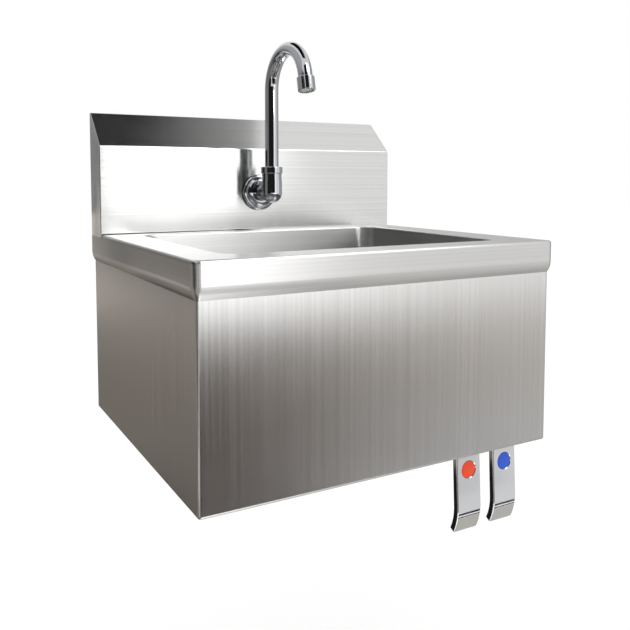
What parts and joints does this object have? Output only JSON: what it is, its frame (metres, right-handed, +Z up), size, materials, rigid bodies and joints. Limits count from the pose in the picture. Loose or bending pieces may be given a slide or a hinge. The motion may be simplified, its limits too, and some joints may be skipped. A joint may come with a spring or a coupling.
{
  "type": "wall-hung knee-operated hand basin",
  "caption": "Wall-hung stainless hand basin with a boxed splashback, swivelling gooseneck spout, lift-out strainer and hot and cold knee pedals.",
  "frame": {"origin": "centre of the wall bracket's four screw holes, on the wall face", "axes": "+Z up, +Y into the wall, +X to the user's right; the user stands on the -Y side"},
  "size_m": [0.432, 0.381, 0.5679],
  "materials": {
    "stainless": "brushed stainless steel",
    "chrome": "bright chrome plate",
    "brass": "plain brass",
    "copper": "drawn copper tube",
    "plated_steel": "zinc-plated steel",
    "spring_steel": "stainless spring wire",
    "rubber": "black rubber",
    "fibre": "hard fibre",
    "white_plastic": "white acetal",
    "red": "gloss red",
    "blue": "gloss blue"
  },
  "bodies": {
    "basin": {"basin_top": "stainless", "backsplash": "stainless", "skirt": "stainless", "valve_bracket": "stainless", "drain_body": "stainless", "faucet_elbow": "chrome", "escutcheon": "chrome", "spout_nut": "chrome", "tailpiece": "chrome", "tailpiece_nut": "chrome", "shank_locknut": "brass", "supply_elbow": "brass", "tube_nuts": "brass", "drain_locknut": "brass", "valve_body": "brass", "hot_bonnet": "brass", "cold_bonnet": "brass", "hot_inlet": "brass", "cold_inlet": "brass", "mixed_water_tube": "copper", "wall_bracket": "plated_steel", "shank_washer": "plated_steel", "valve_screws": "plated_steel", "pivot_pin": "plated_steel", "pivot_spacers": "plated_steel", "pin_clips": "plated_steel", "hot_spring": "spring_steel", "cold_spring": "spring_steel", "escutcheon_gasket": "rubber", "spout_o_rings": "rubber", "drain_gasket": "rubber", "tailpiece_washer": "rubber", "hot_seal": "rubber", "cold_seal": "rubber", "drain_washer": "fibre", "spout_bush": "white_plastic"},
    "spout": {"spout_tube": "chrome", "aerator_housing": "chrome", "aerator_washer": "rubber", "aerator_insert": "white_plastic"},
    "hot_pedal": {"hot_pedal": "chrome", "hot_index": "red"},
    "cold_pedal": {"cold_pedal": "chrome", "cold_index": "blue"},
    "hot_plunger": {"hot_plunger": "brass"},
    "cold_plunger": {"cold_plunger": "brass"},
    "strainer": {"strainer_cup": "stainless", "strainer_knob": "stainless"}
  },
  "joints": [
    {"name": "spout_swivel", "type": "hinge", "parent": "basin", "child": "spout", "pos_m": [0, -0.092, -0.0625], "axis": [0, 0, 1], "range_deg": [-90, 90]},
    {"name": "hot_pedal_swing", "type": "hinge", "parent": "basin", "child": "hot_pedal", "pos_m": [0.113, -0.3527, -0.296], "axis": [1, 0, 0], "range_deg": [0, 12], "stiffness_Nm_per_rad": 4, "springref_deg": -5.73},
    {"name": "hot_plunger_push", "type": "slide", "parent": "basin", "child": "hot_plunger", "axis": [0, 1, 0], "range_m": [0, 0.004], "deforming": ["hot_spring"]},
    {"name": "cold_pedal_swing", "type": "hinge", "parent": "basin", "child": "cold_pedal", "pos_m": [0.166, -0.3527, -0.296], "axis": [1, 0, 0], "range_deg": [0, 12], "stiffness_Nm_per_rad": 4, "springref_deg": -5.73},
    {"name": "cold_plunger_push", "type": "slide", "parent": "basin", "child": "cold_plunger", "axis": [0, 1, 0], "range_m": [0, 0.004], "deforming": ["cold_spring"]},
    {"name": "strainer_lift", "type": "slide", "parent": "basin", "child": "strainer", "axis": [0, 0, 1], "range_m": [0, 0.2]}
  ],
  "couplings": [
    {"joint": "hot_plunger_push", "follows": "hot_pedal_swing", "m_per_rad": 0.0185},
    {"joint": "cold_plunger_push", "follows": "cold_pedal_swing", "m_per_rad": 0.0185}
  ]
}
